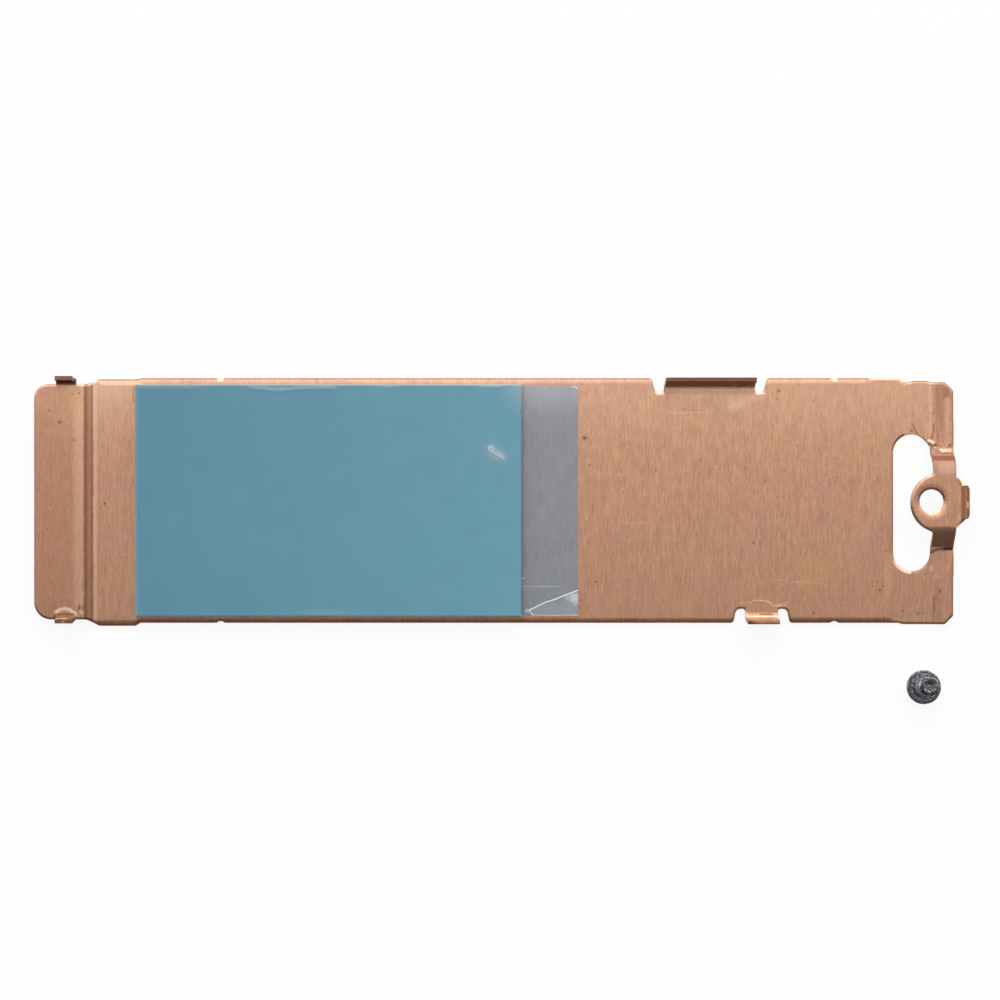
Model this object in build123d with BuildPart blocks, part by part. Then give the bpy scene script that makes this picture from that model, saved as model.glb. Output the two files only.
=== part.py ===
"""Copper heat plate for a card-shaped solid state drive, with its pad, release film and screw.

The plate is one sheet of copper, punched and folded. It lies on its plain back face, and the
side that goes against the drive looks up. Millimetres, +Z up. +X runs along the plate, from
the tongue at the socket end to the screw ring. The origin is on the back face, on the centre
line, halfway along the plate.
"""

from build123d import *
from math import copysign, cos, radians, sin, tan
import os

os.makedirs("parts", exist_ok=True)

# Sheet
sheet_thickness = 0.4
plate_width = 24.5
plate_left_x = -46.46
plate_right_x = 45.28
half_width = plate_width / 2
drive_face_z = sheet_thickness

# Rounded shoulder that the punch leaves on the drive side
edge_roll = 0.25

# Tongue at the socket end: narrower, with round corners, one step above the plate
tongue_rise = 0.9
tongue_foot_x = -40.92
tongue_step_run = 0.7
tongue_top_inset = 0.65
tongue_bottom_inset = 0.38
tongue_top_corner_radius = 1.4
tongue_bottom_corner_radius = 1.7
tongue_foot_radius = 0.5
tongue_crest_radius = 0.25
neck_start_x = -41.4
neck_length = 1.3
neck_radius = 0.9

# Small offsets in the punched outline, where one cut meets the next
lead_end_x = -35.95
lead_end_slope = 0.55
lead_top_step = 0.1
lead_bottom_step = 0.3
nick_width = 0.8
nick_depth = 0.17
nick_from_lead = 8.0
nick_from_cropped_end = 6.35
cropped_end_length = 5.48
cropped_end_slope = 0.5
cropped_top_step = 0.42
cropped_bottom_step = 0.13
burr_x = 42.0
burr_length = 3.6
burr_height = 0.16
burr_angle = 15
end_corner_cut = 0.85
end_corner_radius = 0.4

# Strip at the screw end: a shallow step up
strip_rise = 0.45
strip_foot_x = 43.3
strip_ramp_run = 1.0
strip_foot_radius = 0.45
strip_crest_radius = 0.6

# Slot that frees the screw ring
slot_left_x = 39.35
slot_right_x = 42.98
slot_centre_y = -0.25
slot_length = 13.7

# Screw ring, carried between two cranked straps
ring_rise = 2.2
ring_centre_x = 43.66
ring_centre_y = -0.25
ring_radius = 2.94
ring_neck_radius = 0.35
hole_x = 42.82
hole_y = -0.1
hole_radius = 1.2
root_top_y = 5.4
root_bottom_y = -5.1
root_blend_length = 2.5
root_ramp_x = 42.5
root_ramp_run = 0.3
crank_top_foot_y = 4.8
crank_top_crest_y = 3.62
crank_bottom_crest_y = -2.92
crank_bottom_foot_y = -4.75
crank_top_foot_radius = 0.8
crank_bottom_foot_radius = 0.5
crank_crest_radius = 1.1

# Tabs folded up along the two long edges, beside the drive
long_tab_left_x = 16.45
long_tab_right_x = 25.45
long_tab_inset = 1.45
long_tab_height = 2.4
long_tab_bend_radius = 0.6
long_tab_angle = 78
short_tab_left_x = 24.6
short_tab_right_x = 27.75
short_tab_inset = 1.1
short_tab_height = 2.3
short_tab_bend_radius = 0.6
short_tab_angle = 86

tab_flare = 0.05
tab_flare_height = 0.3

# Relief notches beside those tabs
notch_bottom_width = 0.9
notch_mouth_width = 1.2
notch_depth = 1.4
notch_root_radius = 0.3
notch_bottom_radius = 0.5
notch_mouth_radius = 0.35

# Ears folded up from the tongue
ear_x = -43.25
ear_width = 1.75
ear_base_width = 2.0
ear_shoulder_height = 0.3
ear_height = 1.5
ear_angle = 82
top_ear_inset = 0.13
top_ear_bend_radius = 0.3
bottom_ear_inset = 0.77
bottom_ear_bend_radius = 0.55

# Lip folded up at the outer side of the screw ring
lip_bend_x = 45.1
lip_y = -0.17
lip_base_width = 5.0
lip_top_width = 3.3
lip_end_width = 2.5
lip_corner_start = 0.2
lip_corner_turn = 1.0
lip_corner_end = 1.2
lip_taper_height = 0.6
lip_height = 1.6
lip_bend_radius = 0.6
lip_angle = 80

# Thermal pad
pad_left_x = -36.36
pad_right_x = 2.1
pad_side_margin = 0.7
pad_thickness = 1.0
pad_edge_radius = 0.15

# Release film: lies on the pad, and runs on as a pull tab with one corner creased up
film_thickness = 0.08
film_margin = 0.05
film_right_x = 7.8
film_drop_start = 0.25
film_drop_run = 0.9
film_bend_radius = 0.2
crease_left_x = 3.3
crease_rise = 2.55
crease_angle = 9

# Screw that holds the ring down, taken out and stood on its domed head
screw_x = 42.35
screw_from_plate = 5.99
screw_lean = 6.5
head_radius = 1.7
head_rim_height = 0.4
head_dome_radius = 4.2
head_edge_radius = 0.1
shank_radius = 0.98
shank_length = 3.5
shank_tip_chamfer = 0.25
recess_length = 1.7
recess_width = 0.4
recess_depth = 0.45

# How far a face's normal leans up on the drive side, and at most on a punched wall
drive_side_lean = 0.3
wall_lean = 0.05

reach = 2 * (plate_width + tongue_rise + ring_rise)


def span(x_range, y_range, mode=Mode.ADD):
    """Rectangle between two x values and two y values."""
    middle = (sum(x_range) / 2, sum(y_range) / 2)
    with Locations(middle):
        Rectangle(abs(x_range[1] - x_range[0]), abs(y_range[1] - y_range[0]), mode=mode)


def sheet_section(points, radii, thickness=sheet_thickness):
    """Section of a folded sheet: its back line with round bends, thickened to its left."""
    with BuildLine() as back_line:
        FilletPolyline(*points, radius=radii)
        offset(amount=thickness, side=Side.LEFT)
    make_face(back_line.edges())


def folded_tab(bend_point, outward, height, bend_radius, angle, base_width, top_width, taper_height):
    """Tab folded up from an edge of the sheet.

    bend_point is the middle of the bend line on the back face. The tab narrows from base_width
    to top_width up to taper_height above the sheet.
    """
    turn = radians(angle)
    across = Vector(*outward).cross(Vector(0, 0, 1))
    outer_radius = bend_radius + sheet_thickness
    corner = outer_radius * tan(turn / 2)
    rise = height + sheet_thickness * (1 - cos(turn))
    free_edge = (corner + rise / tan(turn), rise)
    base = base_width / 2
    top = top_width / 2
    shoulder = sheet_thickness + taper_height
    crown = rise + sheet_thickness
    with BuildPart() as tab:
        with BuildSketch(Plane(origin=bend_point, x_dir=outward, z_dir=across)):
            sheet_section([(-sheet_thickness, 0), (corner, 0), free_edge], [outer_radius])
        extrude(amount=base, both=True)
        with BuildSketch(Plane(origin=bend_point, x_dir=-across, z_dir=outward)):
            Polygon(
                (-base, -sheet_thickness), (base, -sheet_thickness), (base, sheet_thickness),
                (top, shoulder), (top, crown), (-top, crown), (-top, shoulder),
                (-base, sheet_thickness), align=None,
            )
        extrude(amount=reach, both=True, mode=Mode.INTERSECT)
    return tab.part


def strip_section(y, foot_x, run):
    """Section through the strip's step at one place across the plate."""
    with BuildSketch(Plane.XZ.offset(-y)) as section:
        sheet_section(
            [(slot_centre_x, 0), (foot_x, 0), (foot_x + run, strip_rise), (plate_right_x, strip_rise)],
            [strip_foot_radius * run / strip_ramp_run, strip_crest_radius * run / strip_ramp_run],
        )
    return section.sketch


def rounded_outline(corners, mode=Mode.ADD):
    """Closed outline from (x, y, corner radius) triples."""
    with BuildLine() as edge:
        FilletPolyline(*[(x, y) for x, y, _ in corners], radius=[r for *_, r in corners], close=True)
    make_face(edge.edges(), mode=mode)


def relief_notch(wall_x, away, edge_y):
    """Notch beside a folded tab, from the tab's root at wall_x towards away."""
    side = 1 if edge_y > 0 else -1
    bottom_y = edge_y - side * notch_depth
    rounded_outline(
        [
            (wall_x, edge_y + side, 0),
            (wall_x, bottom_y, notch_root_radius),
            (wall_x + away * notch_bottom_width, bottom_y, notch_bottom_radius),
            (wall_x + away * notch_mouth_width, edge_y, notch_mouth_radius),
            (wall_x + away * 2 * notch_mouth_width, edge_y, 0),
            (wall_x + away * 2 * notch_mouth_width, edge_y + side, 0),
        ],
        mode=Mode.SUBTRACT,
    )


def drive_side_rim(sheet):
    """Edges of a sheet between its drive side and its punched walls."""
    drive_side = sheet.faces().filter_by(lambda face: face.normal_at().Z > drive_side_lean)
    walls = sheet.faces().filter_by(lambda face: abs(face.normal_at().Z) < wall_lean)
    return drive_side.edges() & walls.edges()


def ring_slot(mode=Mode.ADD):
    """Outline of the slot that frees the screw ring."""
    with Locations((slot_centre_x, slot_centre_y)):
        SlotOverall(slot_length, slot_right_x - slot_left_x, rotation=90, mode=mode)


slot_centre_x = (slot_left_x + slot_right_x) / 2
tongue_top_y = half_width - tongue_top_inset
tongue_bottom_y = -half_width + tongue_bottom_inset
cropped_end_x = plate_right_x - cropped_end_length
cropped_top_y = half_width - cropped_top_step
cropped_bottom_y = -half_width - cropped_bottom_step
lead_top_y = half_width - lead_top_step
lead_bottom_y = -half_width - lead_bottom_step
neck_end_x = neck_start_x + neck_length
ear_x_range = (ear_x - ear_base_width / 2, ear_x + ear_base_width / 2)
lip_y_range = (lip_y - lip_base_width / 2, lip_y + lip_base_width / 2)
nick_radius = (nick_width**2 / 4 + nick_depth**2) / (2 * nick_depth)

# Left and right x, bend y, height, bend radius and angle of each side tab
side_tabs = (
    (
        long_tab_left_x, long_tab_right_x, half_width - long_tab_inset,
        long_tab_height, long_tab_bend_radius, long_tab_angle,
    ),
    (
        short_tab_left_x, short_tab_right_x, -half_width + short_tab_inset,
        short_tab_height, short_tab_bend_radius, short_tab_angle,
    ),
)

# Bend y and bend radius of each ear
ears = (
    (tongue_top_y - top_ear_inset, top_ear_bend_radius),
    (tongue_bottom_y + bottom_ear_inset, bottom_ear_bend_radius),
)

# Blank: the stepped sheet, not yet punched
with BuildPart() as blank:
    with BuildSketch(Plane.XZ):
        sheet_section(
            [
                (plate_left_x, tongue_rise),
                (tongue_foot_x - tongue_step_run, tongue_rise),
                (tongue_foot_x, 0),
                (strip_foot_x, 0),
                (strip_foot_x + strip_ramp_run, strip_rise),
                (plate_right_x, strip_rise),
            ],
            [tongue_crest_radius, tongue_foot_radius, strip_foot_radius, strip_crest_radius],
        )
    extrude(amount=plate_width, both=True)

# Strap roots: the shallow step grows steep towards the straps
root_blends = []
for root_y, away in ((root_top_y, 1), (root_bottom_y, -1)):
    with BuildPart() as root_blend:
        loft(
            sections=[
                strip_section(root_y + away * root_blend_length, strip_foot_x, strip_ramp_run),
                strip_section(root_y, root_ramp_x, root_ramp_run),
            ],
            ruled=True,
        )
        with BuildSketch(Plane.XY):
            ring_slot()
        extrude(amount=reach, both=True, mode=Mode.SUBTRACT)
    root_blends.append(root_blend.part)

# Screw ring between its two cranked straps
with BuildPart() as ring:
    with BuildSketch(Plane.YZ.offset(slot_left_x)):
        sheet_section(
            [
                (root_bottom_y, strip_rise),
                (crank_bottom_foot_y, strip_rise),
                (crank_bottom_crest_y, ring_rise),
                (crank_top_crest_y, ring_rise),
                (crank_top_foot_y, strip_rise),
                (root_top_y, strip_rise),
            ],
            [crank_bottom_foot_radius, crank_crest_radius, crank_crest_radius, crank_top_foot_radius],
        )
    extrude(amount=plate_right_x - slot_left_x)
    with BuildSketch(Plane.XY) as ring_outline:
        span((slot_right_x, plate_right_x), (root_bottom_y, root_top_y))
        with Locations((ring_centre_x, ring_centre_y)):
            Circle(ring_radius)
        necks = ring_outline.vertices().filter_by_position(
            Axis.X, slot_right_x - edge_roll, slot_right_x + edge_roll
        ).filter_by_position(Axis.Y, crank_bottom_foot_y, crank_top_foot_y)
        fillet(necks, ring_neck_radius)
        with Locations((hole_x, hole_y)):
            Circle(hole_radius, mode=Mode.SUBTRACT)
    extrude(amount=reach, both=True, mode=Mode.INTERSECT)
    ring_rim = drive_side_rim(ring)
    fillet(
        ring_rim.filter_by_position(Axis.Y, root_bottom_y, root_top_y, inclusive=(False, False)),
        edge_roll,
    )
    with BuildSketch(Plane.XY):
        span((lip_bend_x, lip_bend_x + ring_radius), lip_y_range)
    extrude(amount=reach, both=True, mode=Mode.SUBTRACT)

# Lip at the outer side of the ring: its corners are cut off across the bend
with BuildPart() as lip:
    add(folded_tab(
        (lip_bend_x, lip_y, ring_rise), (1, 0, 0),
        lip_height, lip_bend_radius, lip_angle,
        lip_base_width, lip_top_width, lip_taper_height,
    ))
    with BuildSketch(Plane.XY.shift_origin((lip_bend_x, lip_y))):
        Polygon(
            (-sheet_thickness, -lip_base_width / 2), (lip_corner_start, -lip_base_width / 2),
            (lip_corner_turn, -lip_top_width / 2), (lip_corner_end, -lip_end_width / 2),
            (lip_corner_end, lip_end_width / 2), (lip_corner_turn, lip_top_width / 2),
            (lip_corner_start, lip_base_width / 2), (-sheet_thickness, lip_base_width / 2),
            align=None,
        )
    extrude(amount=reach, mode=Mode.INTERSECT)

# Heat plate
with BuildPart() as heat_plate:
    add(blank.part)
    with BuildSketch(Plane.XY):
        rounded_outline(
            [
                (plate_left_x, tongue_bottom_y, tongue_bottom_corner_radius),
                (neck_start_x, tongue_bottom_y, neck_radius),
                (neck_end_x, lead_bottom_y, neck_radius),
                (lead_end_x - lead_end_slope, lead_bottom_y, 0),
                (lead_end_x, -half_width, 0),
                (lead_end_x, lead_top_y, 0),
                (neck_end_x, lead_top_y, neck_radius),
                (neck_start_x, tongue_top_y, neck_radius),
                (plate_left_x, tongue_top_y, tongue_top_corner_radius),
            ]
        )
        rounded_outline(
            [
                (lead_end_x, -half_width, 0),
                (cropped_end_x, -half_width, 0),
                (cropped_end_x + cropped_end_slope, cropped_bottom_y, 0),
                (plate_right_x - end_corner_cut, cropped_bottom_y, end_corner_radius),
                (plate_right_x, cropped_bottom_y + end_corner_cut, end_corner_radius),
                (plate_right_x, cropped_top_y - end_corner_cut, end_corner_radius),
                (plate_right_x - end_corner_cut, cropped_top_y, end_corner_radius),
                (cropped_end_x + cropped_end_slope, cropped_top_y, 0),
                (cropped_end_x, half_width, 0),
                (lead_end_x, half_width, 0),
            ]
        )
        with Locations((burr_x, cropped_top_y)):
            Trapezoid(burr_length, 2 * burr_height, burr_angle)
        for x in (lead_end_x + nick_from_lead, cropped_end_x - nick_from_cropped_end):
            for side in (1, -1):
                with Locations((x, side * (half_width + nick_radius - nick_depth))):
                    Circle(nick_radius, mode=Mode.SUBTRACT)
        for left_x, right_x, bend_y, *_ in side_tabs:
            relief_notch(left_x - tab_flare, -1, copysign(half_width, bend_y))
            relief_notch(right_x + tab_flare, 1, copysign(half_width, bend_y))
        ring_slot(mode=Mode.SUBTRACT)
    extrude(amount=reach, both=True, mode=Mode.INTERSECT)
    fillet(drive_side_rim(heat_plate), edge_roll)

    # Room for the folded tabs, the ears and the pulled-up straps
    with BuildSketch(Plane.XY):
        for left_x, right_x, bend_y, *_ in side_tabs:
            span((left_x - tab_flare, right_x + tab_flare), (bend_y, copysign(plate_width, bend_y)))
        for bend_y, _ in ears:
            span(ear_x_range, (bend_y, copysign(plate_width, bend_y)))
        span(
            (slot_centre_x, plate_right_x + ring_radius),
            (root_bottom_y - root_blend_length, root_top_y + root_blend_length),
        )
    extrude(amount=reach, both=True, mode=Mode.SUBTRACT)
    add(root_blends)
    add(ring.part)
    for left_x, right_x, bend_y, height, bend_radius, angle in side_tabs:
        add(folded_tab(
            ((left_x + right_x) / 2, bend_y, 0), (0, copysign(1, bend_y), 0),
            height, bend_radius, angle,
            right_x - left_x + 2 * tab_flare, right_x - left_x, tab_flare_height,
        ))
    for bend_y, bend_radius in ears:
        add(folded_tab(
            (ear_x, bend_y, tongue_rise), (0, copysign(1, bend_y), 0),
            ear_height, bend_radius, ear_angle,
            ear_base_width, ear_width, ear_shoulder_height,
        ))
    add(lip.part)

heat_plate.part.label = "heat_plate"
export_step(heat_plate.part, "parts/heat_plate.step")

# Thermal pad, stuck to the plate
pad_width = plate_width - 2 * pad_side_margin
pad_top_z = drive_face_z + pad_thickness
with BuildPart() as thermal_pad:
    with BuildSketch(Plane.XY.offset(drive_face_z)):
        span((pad_left_x, pad_right_x), (-pad_width / 2, pad_width / 2))
    extrude(amount=pad_thickness)
    fillet(thermal_pad.faces().sort_by(Axis.Z)[-1].edges(), pad_edge_radius)

thermal_pad.part.label = "thermal_pad"
export_step(thermal_pad.part, "parts/thermal_pad.step")

# Release film: on the pad, over its edge, and flat on the plate as far as the pull tab's end
film_half_width = pad_width / 2 - film_margin
film_left_x = pad_left_x + film_margin
film_drop_x = pad_right_x + film_drop_start
crease_start = Vector(crease_left_x, -film_half_width, drive_face_z)
crease_end = Vector(film_right_x, crease_rise - film_half_width, drive_face_z)
crease = Axis(crease_start, crease_end - crease_start)
flap_plane = Plane(
    origin=crease_start,
    x_dir=crease.direction,
    z_dir=Vector(0, 0, 1).rotate(crease, -crease_angle),
)
crease_length = (crease_end - crease_start).length
corner_run = Vector(film_right_x - crease_left_x, 0, 0)
corner_along = crease.direction.dot(corner_run)
corner_away = crease.direction.cross(corner_run).Z
with BuildPart() as release_film:
    with BuildSketch(Plane.XZ):
        sheet_section(
            [
                (film_left_x, pad_top_z),
                (film_drop_x, pad_top_z),
                (film_drop_x + film_drop_run, drive_face_z),
                (film_right_x, drive_face_z),
            ],
            [film_bend_radius, film_bend_radius],
            film_thickness,
        )
    extrude(amount=film_half_width, both=True)
    with BuildSketch(Plane.XY):
        Polygon(
            (crease_left_x, -film_half_width), (film_right_x, -film_half_width),
            (film_right_x, crease_rise - film_half_width), align=None,
        )
    extrude(amount=reach, mode=Mode.SUBTRACT)
    with BuildSketch(flap_plane):
        Polygon((0, 0), (corner_along, corner_away), (crease_length, 0), align=None)
    extrude(amount=film_thickness)

release_film.part.label = "release_film"
export_step(release_film.part, "parts/release_film.step")

# Mounting screw, leaning on its domed head with the shank up
screw_y = -half_width - screw_from_plate
lean = radians(screw_lean)
screw_axis = Vector(0, sin(lean), cos(lean))
head_base = Vector(screw_x, screw_y, head_dome_radius) - screw_axis * head_dome_radius
screw_plane = Plane(origin=head_base, x_dir=(1, 0, 0), z_dir=(0, -cos(lean), sin(lean)))
dome_height = head_dome_radius - (head_dome_radius**2 - head_radius**2) ** 0.5
seat_height = dome_height + head_rim_height
screw_length = seat_height + shank_length
with BuildPart() as mounting_screw:
    with BuildSketch(screw_plane):
        with BuildLine():
            RadiusArc((0, 0), (head_radius, dome_height), -head_dome_radius)
            FilletPolyline(
                (head_radius, dome_height), (head_radius, seat_height), (shank_radius, seat_height),
                (shank_radius, screw_length - shank_tip_chamfer),
                (shank_radius - shank_tip_chamfer, screw_length), (0, screw_length), (0, 0),
                radius=[head_edge_radius, 0, 0, 0, 0],
            )
        make_face()
    revolve(axis=Axis(head_base, screw_axis))
    with BuildSketch(Plane(origin=head_base, x_dir=(1, 0, 0), z_dir=screw_axis)):
        with Locations(Rotation(0, 0, 45), Rotation(0, 0, -45)):
            Rectangle(recess_length, recess_width)
    extrude(amount=recess_depth, mode=Mode.SUBTRACT)

mounting_screw.part.label = "mounting_screw"
export_step(mounting_screw.part, "parts/mounting_screw.step")
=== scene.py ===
"""Copper heat plate for a solid state drive card, with its pad, release film and screw."""

import logging
import math
from collections.abc import Callable, Mapping, Sequence
from dataclasses import dataclass
from enum import Enum
from functools import reduce

import bpy
from bpy.types import Material, Node, NodeSocket, NodeTree, Object
from mathutils import Matrix, Vector


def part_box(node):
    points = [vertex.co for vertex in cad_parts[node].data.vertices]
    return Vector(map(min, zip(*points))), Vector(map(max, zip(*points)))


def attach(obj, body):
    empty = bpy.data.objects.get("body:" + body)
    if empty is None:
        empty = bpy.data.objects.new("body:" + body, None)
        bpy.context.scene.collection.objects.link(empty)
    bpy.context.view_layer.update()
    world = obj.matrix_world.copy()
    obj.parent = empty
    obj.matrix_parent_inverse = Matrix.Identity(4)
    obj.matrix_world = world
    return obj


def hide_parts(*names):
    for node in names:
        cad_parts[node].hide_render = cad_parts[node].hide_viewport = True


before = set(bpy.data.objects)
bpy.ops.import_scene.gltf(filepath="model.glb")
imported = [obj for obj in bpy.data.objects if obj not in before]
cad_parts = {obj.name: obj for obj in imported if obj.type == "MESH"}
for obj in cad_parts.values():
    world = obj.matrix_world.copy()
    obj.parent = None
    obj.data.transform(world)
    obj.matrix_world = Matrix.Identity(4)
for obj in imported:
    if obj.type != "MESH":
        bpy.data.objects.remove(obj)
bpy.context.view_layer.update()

MM = 0.001
ROOT = "root"
ALL_HEIGHTS = 1000.0
SMOOTHING_ANGLE = math.radians(25)
LEAST_WEIGHT = 0.002
SPECK_EDGE = (1.0, 0.4)
LIFTED_AND_SHEEN = "lifted_and_sheen"
WEAR_AND_SHEEN = "wear_and_sheen"
VECTOR = "NodeSocketVector"
NUMBER = "NodeSocketFloat"

Colour = tuple[float, float, float, float]
Value = float | Sequence[float] | NodeSocket
Place = tuple[float, float]
Weight = Callable[[float, float], float]

WHITE: Colour = (1.0, 1.0, 1.0, 1.0)

log = logging.getLogger("heat_plate")


def tone(red: int, green: int, blue: int) -> Colour:
    """Turns a screen colour of 0 to 255 into the linear colour that sockets take.

    Args:
        red: Red on screen.
        green: Green on screen.
        blue: Blue on screen.

    Returns:
        The linear colour, opaque.
    """

    def linear(level: int) -> float:
        """Gives one channel in linear light."""
        share = level / 255
        return share / 12.92 if share <= 0.04045 else ((share + 0.055) / 1.055) ** 2.4

    return (linear(red), linear(green), linear(blue), 1.0)


def smooth_step(low: float, high: float, value: float) -> float:
    """Rises smoothly from 0 at low to 1 at high."""
    share = min(1.0, max(0.0, (value - low) / (high - low)))
    return share * share * (3 - 2 * share)


def distance_to_path(point: Place, path: Sequence[Place]) -> float:
    """Measures how far a point lies from a run of straight stretches.

    Args:
        point: The point's x and y.
        path: The path's corners.

    Returns:
        The shortest distance, in the unit of the points.
    """
    spot = Vector(point)
    nearest = math.inf
    for start, end in zip(path, path[1:]):
        base = Vector(start)
        run = Vector(end) - base
        along = min(1.0, max(0.0, (spot - base).dot(run) / run.length_squared))
        nearest = min(nearest, (base + run * along - spot).length)
    return nearest


class Graph:
    """Adds nodes to one tree and joins them."""

    def __init__(self, tree: NodeTree) -> None:
        """Takes the tree that the nodes go into."""
        self.tree = tree

    def fill(self, node: Node, inputs: Mapping[str | int, Value]) -> None:
        """Sets inputs of a node, each to a value or by a link from a socket."""
        for key, value in inputs.items():
            if isinstance(value, NodeSocket):
                self.tree.links.new(value, node.inputs[key])
            else:
                node.inputs[key].default_value = value

    def node(
        self, kind: str, inputs: Mapping[str | int, Value] | None = None, **settings: object
    ) -> Node:
        """Adds one node.

        Args:
            kind: The node's type name.
            inputs: A value or a socket for each input that is set.
            settings: The node's own fields, set before its inputs.

        Returns:
            The new node.
        """
        made = self.tree.nodes.new(kind)
        for name, setting in settings.items():
            setattr(made, name, setting)
        self.fill(made, inputs or {})
        return made

    def math(self, operation: str, *values: Value, clamp: bool = False) -> NodeSocket:
        """Adds a math node and gives its result."""
        made = self.node(
            "ShaderNodeMath", dict(enumerate(values)), operation=operation, use_clamp=clamp
        )
        return made.outputs[0]

    def plus(self, first: Value, second: Value) -> NodeSocket:
        """Adds two values."""
        return self.math("ADD", first, second)

    def minus(self, first: Value, second: Value) -> NodeSocket:
        """Takes the second value off the first."""
        return self.math("SUBTRACT", first, second)

    def times(self, first: Value, second: Value) -> NodeSocket:
        """Multiplies two values."""
        return self.math("MULTIPLY", first, second)

    def most(self, first: Value, second: Value) -> NodeSocket:
        """Keeps the larger of two values."""
        return self.math("MAXIMUM", first, second)

    def swing(self, value: Value, reach: float) -> NodeSocket:
        """Turns a value of 0 to 1 into one that swings about 0, over the reach."""
        return self.times(self.minus(value, 0.5), reach)

    def vector(self, operation: str, *values: Value) -> NodeSocket:
        """Adds a vector math node and gives its vector."""
        made = self.node("ShaderNodeVectorMath", dict(enumerate(values)), operation=operation)
        return made.outputs[0]

    def scaled(self, vector: Value, factor: float) -> NodeSocket:
        """Scales a vector."""
        made = self.node("ShaderNodeVectorMath", {0: vector, "Scale": factor}, operation="SCALE")
        return made.outputs[0]

    def length(self, vector: Value) -> NodeSocket:
        """Measures a vector."""
        return self.node("ShaderNodeVectorMath", {0: vector}, operation="LENGTH").outputs["Value"]

    def joined(self, *values: Value) -> NodeSocket:
        """Makes a vector of up to three values."""
        return self.node("ShaderNodeCombineXYZ", dict(enumerate(values))).outputs[0]

    def part(self, vector: Value, axis: str) -> NodeSocket:
        """Takes X, Y or Z out of a vector."""
        return self.node("ShaderNodeSeparateXYZ", {0: vector}).outputs[axis]

    def ramp(self, value: Value, low: float, high: float, smooth: bool = True) -> NodeSocket:
        """Maps low to high onto 0 to 1, held at both ends."""
        made = self.node(
            "ShaderNodeMapRange",
            {"Value": value, "From Min": low, "From Max": high},
            interpolation_type="SMOOTHSTEP" if smooth else "LINEAR",
        )
        return made.outputs["Result"]

    def mix(self, share: Value, first: Value, second: Value) -> NodeSocket:
        """Blends from the first colour, at 0, to the second, at 1."""
        made = self.node("ShaderNodeMix", {0: share, 6: first, 7: second}, data_type="RGBA")
        return made.outputs[2]

    def noise(self, place: Value, scale: float, detail: float) -> NodeSocket:
        """Adds noise read at a place, and gives its value."""
        made = self.node(
            "ShaderNodeTexNoise", {"Vector": place, "Scale": scale, "Detail": detail}
        )
        return made.outputs[0]

    def bump(
        self, strength: float, distance: float, height: Value, **base: NodeSocket
    ) -> NodeSocket:
        """Turns a height into a normal.

        Args:
            strength: How much of the bump shows.
            distance: What a height of 1 stands for, in metres.
            height: The height.
            base: The normal that the bump leans from, as Normal, where it isn't the surface's own.

        Returns:
            The normal.
        """
        inputs = {"Strength": strength, "Distance": distance, "Height": height, **base}
        return self.node("ShaderNodeBump", inputs).outputs[0]

    def group(self, tree: NodeTree, inputs: Mapping[str, Value]) -> Node:
        """Places a node group."""
        return self.node("ShaderNodeGroup", inputs, node_tree=tree)


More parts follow.
